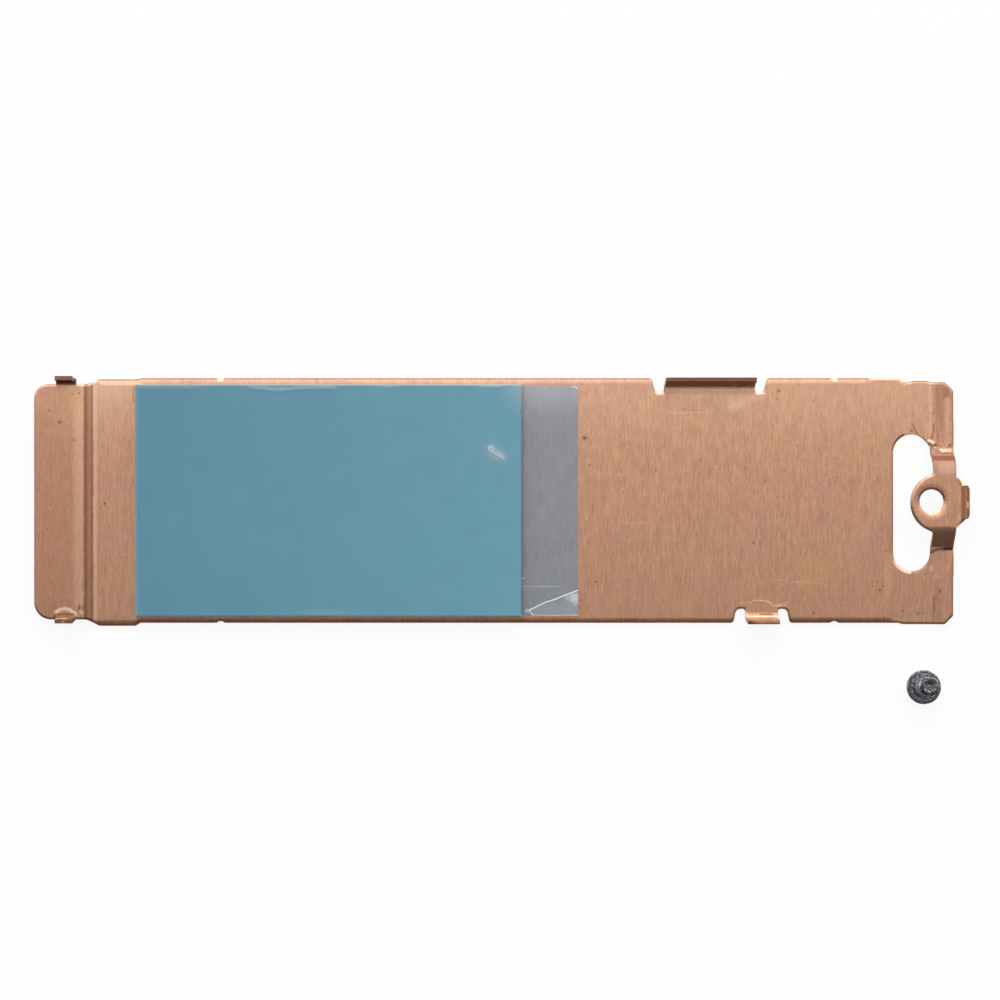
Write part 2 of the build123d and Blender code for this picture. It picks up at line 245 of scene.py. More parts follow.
class Effects:
    """Node groups that more than one finish uses. Places and sizes in them are millimetres."""

    def __init__(self) -> None:
        """Builds each group once."""
        self.place = self._place()
        self.mark = self._mark()
        self.turned = self._turned()
        self.levelled = self._levelled()
        self.specks = self._specks()
        self.streaks = self._streaks()

    @staticmethod
    def _start(
        name: str, inputs: Mapping[str, str], outputs: Mapping[str, str]
    ) -> tuple[Graph, Mapping[str, NodeSocket], Node]:
        """Makes an empty group.

        Args:
            name: The group's name.
            inputs: The socket type of each input, by name.
            outputs: The socket type of each output, by name.

        Returns:
            The group's graph, the sockets of its inputs, and its output node.
        """
        tree = bpy.data.node_groups.new(name, "ShaderNodeTree")
        for in_out, sockets in (("INPUT", inputs), ("OUTPUT", outputs)):
            for label, kind in sockets.items():
                tree.interface.new_socket(label, in_out=in_out, socket_type=kind)
        graph = Graph(tree)
        return graph, graph.node("NodeGroupInput").outputs, graph.node("NodeGroupOutput")

    def _place(self) -> NodeTree:
        """Gives the place on the object, in millimetres, and how far the surface faces up."""
        graph, _, last = self._start("place_on_object", {}, {"Place": VECTOR, "Upward": NUMBER})
        coordinates = graph.node("ShaderNodeTexCoord")
        graph.fill(
            last,
            {
                "Place": graph.scaled(coordinates.outputs["Object"], 1 / MM),
                "Upward": graph.part(coordinates.outputs["Normal"], "Z"),
            },
        )
        return graph.tree

    def _mark(self) -> NodeTree:
        """Masks one soft-edged bar or spot that lies along x and y."""
        graph, given, last = self._start(
            "soft_mark",
            {
                "Place": VECTOR, "Centre": VECTOR, "Half Size": VECTOR, "Softness": NUMBER,
                "Strength": NUMBER,
            },
            {"Mask": NUMBER},
        )
        away = graph.vector("SUBTRACT", given["Place"], given["Centre"])
        beyond = graph.vector("SUBTRACT", graph.vector("ABSOLUTE", away), given["Half Size"])
        outside = graph.length(graph.vector("MAXIMUM", beyond, (0.0, 0.0, 0.0)))
        mask = graph.node(
            "ShaderNodeMapRange",
            {
                "Value": outside, "From Min": given["Softness"], "From Max": 0.0,
                "To Min": 0.0, "To Max": given["Strength"],
            },
            interpolation_type="SMOOTHSTEP",
        )
        graph.fill(last, {"Mask": mask.outputs["Result"]})
        return graph.tree

    def _turned(self) -> NodeTree:
        """Reads a place from a centre, along and across a level direction."""
        graph, given, last = self._start(
            "turned_place",
            {"Place": VECTOR, "Centre": VECTOR, "Along": VECTOR, "Across": VECTOR},
            {"Place": VECTOR},
        )
        away = graph.vector("SUBTRACT", given["Place"], given["Centre"])
        shares = [
            graph.node(
                "ShaderNodeVectorMath", {0: away, 1: given[way]}, operation="DOT_PRODUCT"
            ).outputs["Value"]
            for way in ("Along", "Across")
        ]
        graph.fill(last, {"Place": graph.joined(*shares)})
        return graph.tree

    def _levelled(self) -> NodeTree:
        """Leans a surface's normal towards straight up, as on a softly drawn bend."""
        graph, given, last = self._start("levelled_normal", {"Share": NUMBER}, {"Normal": VECTOR})
        share = given["Share"]
        normal = graph.node("ShaderNodeNewGeometry").outputs["Normal"]
        kept = graph.vector("MULTIPLY", normal, graph.minus(1.0, share))
        leaned = graph.vector("ADD", kept, graph.joined(0.0, 0.0, share))
        graph.fill(last, {"Normal": graph.vector("NORMALIZE", leaned)})
        return graph.tree

    def _specks(self) -> NodeTree:
        """Masks small round specks, some cells of a loose grid at a time."""
        graph, given, last = self._start(
            "specks",
            {"Place": VECTOR, "Spacing": NUMBER, "Radius": NUMBER, "Share": NUMBER},
            {"Mask": NUMBER},
        )
        spacing = given["Spacing"]
        cells = graph.node(
            "ShaderNodeTexVoronoi",
            {"Vector": given["Place"], "Scale": graph.math("DIVIDE", 1.0, spacing)},
        )
        pick = graph.node("ShaderNodeSeparateColor", {0: cells.outputs["Color"]})
        chosen = graph.math("LESS_THAN", pick.outputs[0], given["Share"])
        away = graph.times(cells.outputs["Distance"], spacing)
        size = graph.times(given["Radius"], graph.plus(pick.outputs[1], 0.5))
        inside = graph.ramp(graph.math("DIVIDE", away, size), *SPECK_EDGE)
        graph.fill(last, {"Mask": graph.times(inside, chosen)})
        return graph.tree

    def _streaks(self) -> NodeTree:
        """Gives the fine rolling grain that runs across the strip."""
        graph, given, last = self._start(
            "rolling_streaks",
            {"Place": VECTOR, "Width": NUMBER, "Length": NUMBER},
            {"Value": NUMBER},
        )
        across, along = (
            graph.math("DIVIDE", 1.0, given[size]) for size in ("Width", "Length")
        )
        place = graph.vector("MULTIPLY", given["Place"], graph.joined(across, along, 1.0))
        graph.fill(last, {"Value": graph.noise(place, 1.0, 4.0)})
        return graph.tree


@dataclass(frozen=True)
class Cloud:
    """Soft patches: noise of one scale, cut between two levels."""

    scale: float
    detail: float
    low: float
    high: float


@dataclass(frozen=True)
class Grain:
    """Rolling streaks, in millimetres."""

    width: float
    length: float


@dataclass(frozen=True)
class Specks:
    """Loose round specks, in millimetres."""

    spacing: float
    radius: float
    share: float


@dataclass(frozen=True)
class Ripple:
    """Fine relief: noise of one scale, how much of it shows, and how deep it is in metres."""

    scale: float
    detail: float
    share: float
    depth: float


class MaterialGraph(Graph):
    """The graph of a new material, which knows the shared groups and the place on the object."""

    def __init__(self, name: str, effects: Effects) -> None:
        """Makes the material, with a principled shader."""
        self.material = bpy.data.materials.new(name)
        self.material.use_nodes = True
        super().__init__(self.material.node_tree)
        self.effects = effects
        spot = self.group(effects.place, {}).outputs
        self.place, self.upward = spot["Place"], spot["Upward"]

    def cloud(self, cloud: Cloud, place: Value | None = None) -> NodeSocket:
        """Masks soft patches, at the place on the object or at one that is given."""
        noise = self.noise(self.place if place is None else place, cloud.scale, cloud.detail)
        return self.ramp(noise, cloud.low, cloud.high)

    def grain(self, grain: Grain) -> NodeSocket:
        """Gives the streaks' level, from 0 to 1."""
        inputs = {"Place": self.place, "Width": grain.width, "Length": grain.length}
        return self.group(self.effects.streaks, inputs).outputs[0]

    def specks(self, specks: Specks) -> NodeSocket:
        """Masks loose specks."""
        inputs = {
            "Place": self.place, "Spacing": specks.spacing, "Radius": specks.radius,
            "Share": specks.share,
        }
        return self.group(self.effects.specks, inputs).outputs[0]

    def ripple(self, ripple: Ripple) -> NodeSocket:
        """Gives the normal of fine relief."""
        height = self.noise(self.place, ripple.scale, ripple.detail)
        return self.bump(ripple.share, ripple.depth, height)

    def painted(self, inputs: Mapping[str, Value]) -> Material:
        """Sets the shader's inputs and gives the finished material."""
        self.fill(self.tree.nodes["Principled BSDF"], inputs)
        return self.material


class Tint(Enum):
    """What a mark does to the copper under it. The tints serve real marks as well as painted
    highlights and painted shade.
    """

    DARK = tone(92, 56, 44)
    LIGHT = tone(246, 206, 176)
    OCHRE = tone(212, 164, 112)
    ROSE = tone(168, 104, 84)


@dataclass(frozen=True)
class Mark:
    """A mark on the drive side, in millimetres.

    Its relief is how far it stands proud, its level the share by which bends under it are softened.
    """

    centre: Place
    length: float
    width: float
    tint: Tint
    strength: float
    softness: float
    degrees: float = 0.0
    relief: float = 0.0
    level: float = 0.0

    def mask(self, graph: MaterialGraph, place: Value, full: float) -> NodeSocket:
        """Places the mark's mask in a material.

        Args:
            graph: The material's graph.
            place: The place on the object.
            full: The mask's value inside the mark.

        Returns:
            The mask.
        """
        centre: tuple[float, ...] = (*self.centre, 0.0)
        if self.degrees:
            angle = math.radians(self.degrees)
            turned = graph.group(
                graph.effects.turned,
                {
                    "Place": place, "Centre": centre,
                    "Along": (math.cos(angle), math.sin(angle), 0.0),
                    "Across": (-math.sin(angle), math.cos(angle), 0.0),
                },
            )
            place, centre = turned.outputs[0], (0.0, 0.0, 0.0)
        inputs = {
            "Place": place, "Centre": centre, "Softness": self.softness, "Strength": full,
            "Half Size": (self.length / 2, self.width / 2, ALL_HEIGHTS),
        }
        return graph.group(graph.effects.mark, inputs).outputs[0]


@dataclass(frozen=True)
class Line:
    """A thin line along a path, in millimetres."""

    path: tuple[Place, ...]
    width: float
    tint: Tint
    strength: float
    softness: float
    relief: float = 0.0
    level: float = 0.0

    def mask(self, graph: MaterialGraph, place: Value, full: float) -> NodeSocket:
        """Places the line's mask in a material, stretch by stretch, as a mark's is placed."""
        masks = [
            Mark(
                ((x0 + x1) / 2, (y0 + y1) / 2), math.hypot(x1 - x0, y1 - y0), self.width, self.tint,
                self.strength, self.softness, math.degrees(math.atan2(y1 - y0, x1 - x0)),
            ).mask(graph, place, full)
            for (x0, y0), (x1, y1) in zip(self.path, self.path[1:])
        ]
        return reduce(graph.most, masks)


@dataclass(frozen=True)
class CopperFinish:
    """Bare rolled copper: satin, streaked, freckled and lightly marked by handling, with painted
    highlights and painted shade on its bends and edges.
    """

    name: str = "bare_copper"
    base: Colour = tone(197, 149, 122)
    ochre: Colour = tone(198, 152, 116)
    ochre_patches: Cloud = Cloud(0.3, 3.0, 0.38, 0.66)
    ochre_share: float = 0.6
    lilac: Colour = tone(187, 136, 118)
    lilac_patches: Cloud = Cloud(0.9, 5.0, 0.42, 0.64)
    lilac_share: float = 0.5
    streaks: Grain = Grain(0.2, 2.2)
    streak_reach: float = 0.45
    hairs: Grain = Grain(0.09, 0.8)
    hair_reach: float = 0.7
    grain_relief: float = 0.007
    glint: Colour = tone(236, 196, 164)
    glints: Specks = Specks(0.34, 0.07, 0.4)
    glint_share: float = 0.32
    freckle: Colour = tone(100, 64, 50)
    small_freckles: Specks = Specks(0.4, 0.09, 0.35)
    small_share: float = 0.55
    gathered: Cloud = Cloud(0.45, 2.0, 0.4, 0.62)
    large_freckles: Specks = Specks(1.9, 0.13, 0.4)
    large_share: float = 0.8
    metallic: float = 0.9
    roughness: float = 0.33
    patch_roughness: float = 0.08
    freckle_roughness: float = 0.25
    sway: float = 0.16
    sway_scale: float = 3.5
    level: float = 0.35
    level_facing: Place = (0.2, 0.6)
    drive_facing: Place = (-0.3, -0.1)
    marks: tuple[Mark | Line, ...] = ()

    def build(self, effects: Effects) -> Material:
        """Makes the copper material from the shared node groups."""
        graph = MaterialGraph(self.name, effects)
        place = graph.place
        sway = graph.node(
            "ShaderNodeTexNoise", {"Vector": place, "Scale": self.sway_scale, "Detail": 2.0}
        )
        shift = graph.vector("SUBTRACT", sway.outputs["Color"], (0.5, 0.5, 0.5))
        loose_place = graph.vector("ADD", place, graph.scaled(shift, self.sway))

        broad = graph.cloud(self.ochre_patches)
        blotch = graph.cloud(self.lilac_patches)
        streaks, hairs = graph.grain(self.streaks), graph.grain(self.hairs)
        colour = graph.mix(graph.times(broad, self.ochre_share), self.base, self.ochre)
        colour = graph.mix(graph.times(blotch, self.lilac_share), colour, self.lilac)
        shade = graph.plus(
            graph.swing(streaks, self.streak_reach), graph.swing(hairs, self.hair_reach)
        )
        shaded = graph.node(
            "ShaderNodeHueSaturation", {"Color": colour, "Value": graph.plus(shade, 1.0)}
        )
        bright = graph.times(graph.specks(self.glints), self.glint_share)
        colour = graph.mix(bright, shaded.outputs[0], self.glint)
        small, large = graph.specks(self.small_freckles), graph.specks(self.large_freckles)
        gathered = graph.cloud(self.gathered)
        freckles = graph.most(
            graph.times(graph.times(small, gathered), self.small_share),
            graph.times(large, self.large_share),
        )
        colour = graph.mix(freckles, colour, self.freckle)

        marked = colour
        raised: Value = 0.0
        level: Value = graph.times(graph.ramp(graph.upward, *self.level_facing), self.level)
        # The marks hold stains, pits and scratches, and also painted highlights and painted shade.
        for mark in self.marks:
            if mark.strength:
                mask = mark.mask(graph, loose_place, mark.strength)
                marked = graph.mix(mask, marked, mark.tint.value)
            if mark.relief:
                raised = graph.plus(raised, mark.mask(graph, loose_place, mark.relief))
            if mark.level:
                level = graph.most(level, mark.mask(graph, place, mark.level))
        drive_side = graph.ramp(graph.upward, *self.drive_facing)
        colour = graph.mix(drive_side, colour, marked)
        relief = graph.plus(graph.times(raised, drive_side), graph.times(shade, self.grain_relief))
        roughness = graph.plus(
            graph.swing(blotch, self.patch_roughness),
            graph.plus(graph.times(freckles, self.freckle_roughness), self.roughness),
        )
        levelled = graph.group(effects.levelled, {"Share": graph.times(level, drive_side)})
        normal = graph.bump(1.0, MM, relief, Normal=levelled.outputs["Normal"])
        return graph.painted({
            "Base Color": colour, "Metallic": self.metallic, "Roughness": roughness,
            "Normal": normal,
        })


@dataclass(frozen=True)
class PadFinish:
    """Soft blue silicone pad."""

    name: str = "pad_silicone"
    left: Colour = tone(109, 171, 180)
    right: Colour = tone(125, 190, 199)
    reach: Place = (-36.0, 4.0)
    grain: Colour = tone(97, 161, 173)
    clouds: Cloud = Cloud(0.5, 4.0, 0.35, 0.7)
    cloud_share: float = 0.25
    grit: Ripple = Ripple(9.0, 3.0, 0.3, 0.03 * MM)
    roughness: float = 0.6

    def build(self, effects: Effects) -> Material:
        """Makes the pad material from the shared node groups."""
        graph = MaterialGraph(self.name, effects)
        along = graph.ramp(graph.part(graph.place, "X"), *self.reach, smooth=False)
        colour = graph.mix(along, self.left, self.right)
        cloud = graph.times(graph.cloud(self.clouds), self.cloud_share)
        return graph.painted({
            "Base Color": graph.mix(cloud, colour, self.grain), "Roughness": self.roughness,
            "Normal": graph.ripple(self.grit),
        })


@dataclass(frozen=True)
class FilmFinish:
    """Clear, slightly milky liner, whiter where it stands off the pad or is creased, with painted
    highlights on its wrinkles, creases, blister and corners.
    """

    name: str = "release_film_clear"
    left: Colour = tone(77, 131, 163)
    right: Colour = tone(91, 147, 175)
    reach: Place = (-36.0, 4.0)
    tab: Colour = tone(120, 161, 186)
    tab_start: Place = (2.1, 2.5)
    whitened: Colour = tone(232, 232, 230)
    streaks: Grain = Grain(0.25, 1.6)
    streak_share: float = 0.1
    clouds: Cloud = Cloud(0.35, 3.0, 0.4, 0.75)
    cloud_share: float = 0.04
    crease_gain: float = 2.5
    dust: Colour = tone(70, 84, 92)
    dust_specks: Specks = Specks(3.4, 0.07, 0.3)
    dust_share: float = 0.7
    alpha: float = 0.27
    ripple: Ripple = Ripple(0.8, 2.0, 0.1, 0.1 * MM)
    roughness: float = 0.35
    marks: tuple[Mark | Line, ...] = ()

    def build(self, effects: Effects) -> Material:
        """Makes the film material from the shared node groups."""
        graph = MaterialGraph(self.name, effects)
        x = graph.part(graph.place, "X")
        colour = graph.mix(graph.ramp(x, *self.reach, smooth=False), self.left, self.right)
        colour = graph.mix(graph.ramp(x, *self.tab_start), colour, self.tab)
        streaks = graph.times(graph.grain(self.streaks), self.streak_share)
        colour = graph.mix(streaks, colour, self.whitened)
        cloud = graph.times(graph.cloud(self.clouds), self.cloud_share)
        colour = graph.mix(cloud, colour, self.whitened)
        # Whitening from the film's points and marks: milky haze, and painted highlights on wrinkles,
        # creases, the blister and the corners.
        white = graph.node("ShaderNodeAttribute", attribute_name=LIFTED_AND_SHEEN).outputs["Fac"]
        for mark in self.marks:
            white = graph.most(white, mark.mask(graph, graph.place, mark.strength))
        creased = graph.math("MULTIPLY", white, self.crease_gain, clamp=True)
        colour = graph.mix(creased, colour, self.whitened)
        dusty = graph.times(graph.specks(self.dust_specks), self.dust_share)
        colour = graph.mix(dusty, colour, self.dust)
        hidden = graph.times(graph.most(white, dusty), 1 - self.alpha)
        return graph.painted({
            "Base Color": colour, "Alpha": graph.plus(hidden, self.alpha),
            "Roughness": self.roughness, "Normal": graph.ripple(self.ripple),
        })


@dataclass(frozen=True)
class ScrewFinish:
    """Black plated steel, paler in rings and scuffs, with painted highlights on the thread's crests.
    """

    name: str = "black_plated_steel"
    dark: Colour = tone(54, 54, 60)
    rubbed_and_sheen: Colour = tone(188, 186, 192)
    centre: tuple[float, float, float] = (42.35, -18.66, 0.0)
    scuffs: Cloud = Cloud(5.5, 5.0, 0.44, 0.64)
    rings: Cloud = Cloud(7.0, 2.0, 0.42, 0.6)
    ring_share: float = 0.65
    scuff_share: float = 0.1
    bands: Cloud = Cloud(1.0, 3.0, 0.44, 0.58)
    band_scale: tuple[float, float, float] = (0.6, 0.6, 2.2)
    crest_share: float = 0.85
    grit: Ripple = Ripple(9.0, 4.0, 0.3, 0.03 * MM)
    metallic: float = 0.7
    roughness: float = 0.34

    def build(self, effects: Effects) -> Material:
        """Makes the screw material from the shared node groups."""
        graph = MaterialGraph(self.name, effects)
        scuffed = graph.cloud(self.scuffs)
        away = graph.vector("SUBTRACT", graph.place, self.centre)
        radius = graph.length(graph.vector("MULTIPLY", away, (1.0, 1.0, 0.0)))
        ringed = graph.cloud(self.rings, graph.joined(radius))
        banded = graph.cloud(self.bands, graph.vector("MULTIPLY", graph.place, self.band_scale))
        # Painted highlight: the thread's crests, in bands along the shank, are painted pale.
        crest = graph.node("ShaderNodeAttribute", attribute_name=WEAR_AND_SHEEN).outputs["Fac"]
        wear_and_sheen = graph.plus(graph.times(ringed, self.ring_share), self.scuff_share)
        crested = graph.times(crest, graph.times(banded, self.crest_share))
        share = graph.most(graph.times(wear_and_sheen, scuffed), crested)
        return graph.painted({
            "Base Color": graph.mix(share, self.dark, self.rubbed_and_sheen), "Metallic": self.metallic,
            "Roughness": self.roughness, "Normal": graph.ripple(self.grit),
        })


def only(piece: Object) -> Object:
    """Selects one piece and nothing else."""
    bpy.ops.object.select_all(action="DESELECT")
    piece.select_set(True)
    bpy.context.view_layer.objects.active = piece
    return piece


def new_piece(name: str) -> Object:
    """Names the primitive that was just added."""
    piece = bpy.context.object
    piece.name = name
    piece.data.name = name
    return piece


def assign(piece: Object, material: Material) -> None:
    """Gives a piece one material."""
    piece.data.materials.clear()
    piece.data.materials.append(material)


def apply_modifier(piece: Object, kind: str, **settings: object) -> None:
    """Adds one modifier to a piece and applies it.

    Args:
        piece: The piece.
        kind: The modifier's type.
        settings: The modifier's fields.
    """
    only(piece)
    modifier = piece.modifiers.new(kind.lower(), kind)
    for name, setting in settings.items():
        setattr(modifier, name, setting)
    bpy.ops.object.modifier_apply(modifier=modifier.name)


@dataclass(frozen=True)
class Ridge:
    """A wrinkle or blister in the film, in millimetres; its whitening is partly milky haze and partly
    painted highlight.
    """

    path: tuple[Place, ...]
    height: float
    spread: float
    whiteness_and_sheen: float = 0.0


@dataclass
class SolidPiece:
    """A piece whose shape is all in the solid, such as the folded sheet and the pad."""

    node: str

    def dress(self, finish: Material) -> None:
        """Gives the piece its finish."""
        assign(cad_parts[self.node], finish)


@dataclass
class ReleaseFilm:
    """The liner: over the pad, down its end, along the copper, with one corner creased up."""

    node: str = "release_film"
    cell: float = 0.15 * MM
    thickness: float = 0.05 * MM
    float_height: float = 0.02 * MM
    drop_start: float = 2.12 * MM
    drop_run: float = 0.24 * MM
    drop_rows: int = 6
    crease: tuple[Place, Place] = ((2.2, -11.26), (7.8, -8.93))
    corner_lift: float = 0.3 * MM
    ridges: tuple[Ridge, ...] = ()

    def build(self) -> Object:
        """Shapes the film from a fine grid.

        Returns:
            The film.
        """
        low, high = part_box(self.node)
        pad_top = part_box("thermal_pad")[1].z + self.float_height
        plate_face = low.z + self.float_height
        size = high - low
        bpy.ops.object.select_all(action="DESELECT")
        bpy.ops.mesh.primitive_grid_add(
            x_subdivisions=round(size.x / self.cell), y_subdivisions=round(size.y / self.cell),
            size=1, enter_editmode=True,
        )
        bpy.ops.transform.resize(value=(size.x, size.y, 1))
        bpy.ops.transform.translate(value=((low.x + high.x) / 2, (low.y + high.y) / 2, pad_top))
        start, end = (Vector((x * MM, y * MM, pad_top)) for x, y in self.crease)
        across = (end - start).cross(Vector((0, 0, 1))).normalized()
        bpy.ops.mesh.select_all(action="SELECT")
        bpy.ops.mesh.bisect(plane_co=start, plane_no=across)
        for row in range(self.drop_rows + 1):
            x = self.drop_start + self.drop_run * row / self.drop_rows
            bpy.ops.mesh.select_all(action="SELECT")
            bpy.ops.mesh.bisect(plane_co=(x, 0, pad_top), plane_no=(1, 0, 0))
        bpy.ops.object.mode_set(mode="OBJECT")
        film = new_piece("clear_film")

        self._lift(
            film, "drop", plate_face - pad_top,
            lambda x, y: smooth_step(self.drop_start, self.drop_start + self.drop_run, x),
        )
        corner = Vector((high.x, low.y, pad_top))
        full = (corner - start).dot(across)
        self._lift(
            film, "corner", self.corner_lift,
            lambda x, y: max(0.0, (Vector((x, y, pad_top)) - start).dot(across) / full),
        )
        for index, ridge in enumerate(self.ridges):
            self._lift(film, f"ridge_{index}", ridge.height * MM, self._ridge_weight(ridge))
        self._whiten(film)
        apply_modifier(film, "SOLIDIFY", thickness=self.thickness, offset=1.0)
        bpy.ops.object.shade_smooth_by_angle(angle=SMOOTHING_ANGLE)
        return film

    @staticmethod
    def _ridge_weight(ridge: Ridge) -> Weight:
        """Gives a ridge's share of its height at any place."""

        def weight(x: float, y: float) -> float:
            """Falls off smoothly on both sides of the ridge's line."""
            away = distance_to_path((x / MM, y / MM), ridge.path)
            return math.exp(-((away / ridge.spread) ** 2))

        return weight

    @staticmethod
    def _lift(film: Object, name: str, height: float, weight: Weight) -> None:
        """Moves part of the film up or down.

        Args:
            film: The film.
            name: A name for the vertex group.
            height: The move at full weight, in metres.
            weight: The share of the move at each x and y.
        """
        group = film.vertex_groups.new(name=name)
        for vertex in film.data.vertices:
            share = weight(vertex.co.x, vertex.co.y)
            if share > LEAST_WEIGHT:
                group.add([vertex.index], min(1.0, share), "REPLACE")
        apply_modifier(
            film, "DISPLACE", strength=height, mid_level=0.0, direction="Z", vertex_group=name
        )

    def _whiten(self, film: Object) -> None:
        """Stores how milky each point of the film is, with painted highlight along the wrinkles and
        the blister.
        """
        attribute = film.data.attributes.new(LIFTED_AND_SHEEN, "FLOAT", "POINT")
        weights = [(self._ridge_weight(ridge), ridge.whiteness_and_sheen) for ridge in self.ridges]
        for vertex in film.data.vertices:
            x, y = vertex.co.x, vertex.co.y
            share = max((rise(x, y) * white for rise, white in weights if white), default=0.0)
            attribute.data[vertex.index].value = min(1.0, share)

    def dress(self, film: Object, finish: Material) -> None:
        """Gives the film its finish and its place in the frame."""
        assign(film, finish)
        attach(film, ROOT)
        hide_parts(self.node)


@dataclass
class MountingScrew:
    """The screw, standing on its head: the head from the solid, with a real thread."""

    node: str = "mounting_screw"
    lean: float = math.radians(6.5)
    dome_radius: float = 4.2 * MM
    seat_height: float = 0.759 * MM
    rim_height: float = 0.3594 * MM
    core_radius: float = 0.8 * MM
    crest_radius: float = 0.98 * MM
    pitch: float = 0.4 * MM
    turns: int = 8
    tooth_peak: float = 0.42
    tooth_foot: float = 0.84
    tooth_sink: float = 0.1
    length: float = 4.259 * MM
    tip_chamfer: float = 0.07 * MM
    dimple_rim: float = 0.45
    dimple_floor: float = 0.3
    dimple_depth: float = 0.08 * MM
    cut_gap: float = 0.02 * MM
    core_overlap: float = 0.05 * MM
    thread_overlap: float = 0.1 * MM
    weld: float = 0.001 * MM
    seam_weld: float = 0.0001 * MM
    steps: int = 40

    def build(self) -> Object:
        """Cuts the head from a copy of the solid and threads a new shank.

        Returns:
            The screw.
        """
        head = self._head()
        parts = [self._core(), self._thread()]
        base = self._base()
        for part in parts:
            only(part)
            part.data.transform(Matrix.Translation(base) @ Matrix.Rotation(-self.lean, 4, "X"))
        only(head)
        for part in parts:
            part.select_set(True)
        bpy.ops.object.join()
        bpy.ops.object.shade_smooth_by_angle(angle=SMOOTHING_ANGLE)
        return head

    def _axis(self) -> Vector:
        """Gives the direction that the shank points."""
        return Vector((0, math.sin(self.lean), math.cos(self.lean)))

    def _base(self) -> Vector:
        """Works the dome's middle out from the head's lowest y, which its rim sets."""
        low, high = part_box(self.node)
        rim = (high.x - low.x) / 2
        axis = self._axis()
        y = low.y + rim * axis.z - axis.y * self.rim_height
        return Vector(((low.x + high.x) / 2, y, self.dome_radius * (1 - axis.z)))

    def _head(self) -> Object:
        """Copies the solid and cuts its shank off at the seat."""
        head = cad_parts[self.node].copy()
        head.data = head.data.copy()
        bpy.context.scene.collection.objects.link(head)
        head.parent = None
        head.name = head.data.name = "threaded_screw"
        for key in list(head.keys()):
            del head[key]
        only(head)
        bpy.ops.object.mode_set(mode="EDIT")
        bpy.ops.mesh.select_all(action="SELECT")
        bpy.ops.mesh.remove_doubles(threshold=self.weld)
        bpy.ops.mesh.bisect(
            plane_co=self._base() + self._axis() * (self.seat_height + self.cut_gap),
            plane_no=self._axis(), use_fill=True, clear_outer=True,
        )
        bpy.ops.object.mode_set(mode="OBJECT")
        return head

    def _core(self) -> Object:
        """Turns the shank's core, with its chamfered tip, on an upright axis."""
        rings = (
            (self.core_radius, self.length - self.tip_chamfer),
            (self.core_radius - self.tip_chamfer, self.length),
            (self.core_radius * self.dimple_rim, self.length),
            (self.core_radius * self.dimple_floor, self.length - self.dimple_depth),
        )
        bpy.ops.object.select_all(action="DESELECT")
        bpy.ops.mesh.primitive_circle_add(
            vertices=self.steps, radius=self.core_radius, fill_type="NGON", enter_editmode=True,
            location=(0, 0, 0),
        )
        radius, height = self.core_radius, self.seat_height - self.core_overlap
        bpy.ops.transform.translate(value=(0, 0, height))
        for next_radius, next_height in rings:
            bpy.ops.mesh.extrude_region_move(
                TRANSFORM_OT_translate={"value": (0, 0, next_height - height)}
            )
            share = next_radius / radius
            bpy.ops.transform.resize(value=(share, share, 1), center_override=(0, 0, next_height))
            radius, height = next_radius, next_height
        bpy.ops.mesh.select_all(action="SELECT")
        bpy.ops.mesh.normals_make_consistent(inside=False)
        bpy.ops.object.mode_set(mode="OBJECT")
        return new_piece("shank_core")

    def _thread(self) -> Object:
        """Sweeps a tooth round the core."""
        root = self.core_radius - (self.crest_radius - self.core_radius) * self.tooth_sink
        start = self.seat_height - self.thread_overlap
        bpy.ops.object.select_all(action="DESELECT")
        bpy.ops.mesh.primitive_circle_add(
            vertices=3, radius=1.0, fill_type="NOTHING", location=(0, 0, 0)
        )
        thread = new_piece("shank_thread")
        corners = (
            (root, 0, start),
            (self.crest_radius, 0, start + self.pitch * self.tooth_peak),
            (root, 0, start + self.pitch * self.tooth_foot),
        )
        # The crests carry the mask for the painted highlight on the thread.
        wear_and_sheen = thread.data.attributes.new(WEAR_AND_SHEEN, "FLOAT", "POINT")
        wear_and_sheen.data.foreach_set("value", (0.0, 1.0, 0.0))
        for vertex, corner in zip(thread.data.vertices, corners):
            vertex.co = corner
        apply_modifier(
            thread, "SCREW", screw_offset=self.pitch, iterations=self.turns, steps=self.steps,
            render_steps=self.steps, use_merge_vertices=True, merge_threshold=self.seam_weld,
        )
        bpy.ops.object.mode_set(mode="EDIT")
        bpy.ops.mesh.select_all(action="SELECT")
        bpy.ops.mesh.fill_holes(sides=3)
        bpy.ops.mesh.select_all(action="SELECT")
        bpy.ops.mesh.normals_make_consistent(inside=False)
        bpy.ops.object.mode_set(mode="OBJECT")
        return thread

    def dress(self, screw: Object, finish: Material) -> None:
        """Gives the screw its finish and its place in the frame."""
        assign(screw, finish)
        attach(screw, ROOT)
        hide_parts(self.node)


@dataclass(frozen=True)
class Softbox:
    """One soft lamp, hung level and facing down."""

    name: str
    place: tuple[float, float, float]
    size: Place
    brightness: float

    def build(self) -> None:
        """Adds the lamp. Its power gives its face the stated brightness."""
        lamp = bpy.data.lights.new(self.name, "AREA")
        lamp.shape = "RECTANGLE"
        lamp.size, lamp.size_y = self.size
        lamp.energy = math.pi * self.brightness * lamp.size * lamp.size_y
        holder = bpy.data.objects.new(self.name, lamp)
        bpy.context.scene.collection.objects.link(holder)
        holder.location = self.place
        holder.visible_camera = False


